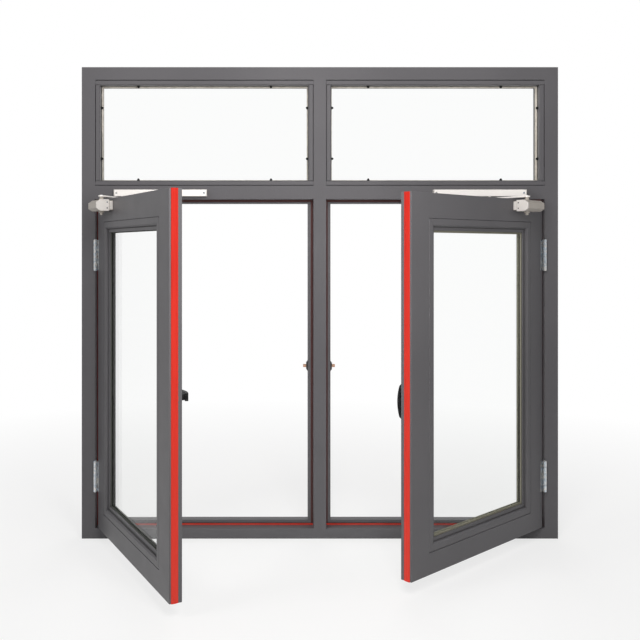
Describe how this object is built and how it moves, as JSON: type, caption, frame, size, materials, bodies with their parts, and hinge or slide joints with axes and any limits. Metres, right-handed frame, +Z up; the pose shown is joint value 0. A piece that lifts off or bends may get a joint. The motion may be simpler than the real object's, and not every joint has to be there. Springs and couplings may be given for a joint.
{
  "type": "fire-rated window",
  "caption": "Steel fire window with fixed lights above a transom and outward casements below, with red fire seals, butt hinges, slide-arm closers and lever handles.",
  "frame": {"origin": "centre of the sill's underside, in the middle of the frame's depth", "axes": "+X to the right seen from outside, +Y into the room, +Z up"},
  "size_m": [1.5, 0.6877, 1.485],
  "materials": {
    "frame_paint": "satin grey paint",
    "fire_glass": "clear",
    "red_seal": "matt red",
    "closer_silver": "satin silver",
    "bright_zinc": "bright zinc",
    "black_plastic": "matt black",
    "copper_metal": "copper plated"
  },
  "bodies": {
    "frame": {"head": "frame_paint", "sill": "frame_paint", "transom_bar": "frame_paint", "upper_mullion": "frame_paint", "lower_mullion": "frame_paint", "left_jamb": "frame_paint", "left_light_glass": "fire_glass", "left_light_beads": "frame_paint", "left_light_clips": "black_plastic", "left_rebate_seal": "red_seal", "left_closer_track": "closer_silver", "left_frame_hinge_leaves": "bright_zinc", "left_keeper": "copper_metal", "right_jamb": "frame_paint", "right_light_glass": "fire_glass", "right_light_beads": "frame_paint", "right_light_clips": "black_plastic", "right_rebate_seal": "red_seal", "right_closer_track": "closer_silver", "right_frame_hinge_leaves": "bright_zinc", "right_keeper": "copper_metal"},
    "left_sash": {"left_sash_top_rail": "frame_paint", "left_sash_bottom_rail": "frame_paint", "left_sash_hinge_stile": "frame_paint", "left_sash_lead_stile": "frame_paint", "left_sash_glass": "fire_glass", "left_sash_beads": "frame_paint", "left_sash_edge_seal": "red_seal", "left_sash_hinge_leaves": "bright_zinc", "left_closer_body": "closer_silver", "left_handle_base": "black_plastic"},
    "left_arm": {"left_closer_arm": "closer_silver"},
    "left_lever": {"left_handle_lever": "black_plastic"},
    "right_sash": {"right_sash_top_rail": "frame_paint", "right_sash_bottom_rail": "frame_paint", "right_sash_hinge_stile": "frame_paint", "right_sash_lead_stile": "frame_paint", "right_sash_glass": "fire_glass", "right_sash_beads": "frame_paint", "right_sash_edge_seal": "red_seal", "right_sash_hinge_leaves": "bright_zinc", "right_closer_body": "closer_silver", "right_handle_base": "black_plastic"},
    "right_arm": {"right_closer_arm": "closer_silver"},
    "right_lever": {"right_handle_lever": "black_plastic"}
  },
  "joints": [
    {"name": "left_sash_hinge", "type": "hinge", "parent": "frame", "child": "left_sash", "pos_m": [-0.7055, -0.045, 0.5505], "axis": [0, 0, -1], "range_deg": [-64.5, 3.5]},
    {"name": "left_arm_pivot", "type": "hinge", "parent": "left_sash", "child": "left_arm", "pos_m": [-0.66186, -0.17597, 1.069], "axis": [0, 0, -1], "range_deg": [-7, 129]},
    {"name": "left_handle_turn", "type": "hinge", "parent": "left_sash", "child": "left_lever", "pos_m": [-0.394, -0.60051, 0.538], "axis": [-0.9026, -0.4305, 0], "range_deg": [0, 90]},
    {"name": "right_sash_hinge", "type": "hinge", "parent": "frame", "child": "right_sash", "pos_m": [0.7055, -0.045, 0.5505], "axis": [0, 0, 1], "range_deg": [-44, 24]},
    {"name": "right_arm_pivot", "type": "hinge", "parent": "right_sash", "child": "right_arm", "pos_m": [0.61876, -0.1524, 1.069], "axis": [0, 0, 1], "range_deg": [-48, 88]},
    {"name": "right_handle_turn", "type": "hinge", "parent": "right_sash", "child": "right_lever", "pos_m": [0.21918, -0.45624, 0.538], "axis": [-0.6947, 0.7193, 0], "range_deg": [-90, 0]}
  ],
  "couplings": [
    {"joint": "left_arm_pivot", "follows": "left_sash_hinge", "ratio": -2},
    {"joint": "right_arm_pivot", "follows": "right_sash_hinge", "ratio": -2}
  ]
}
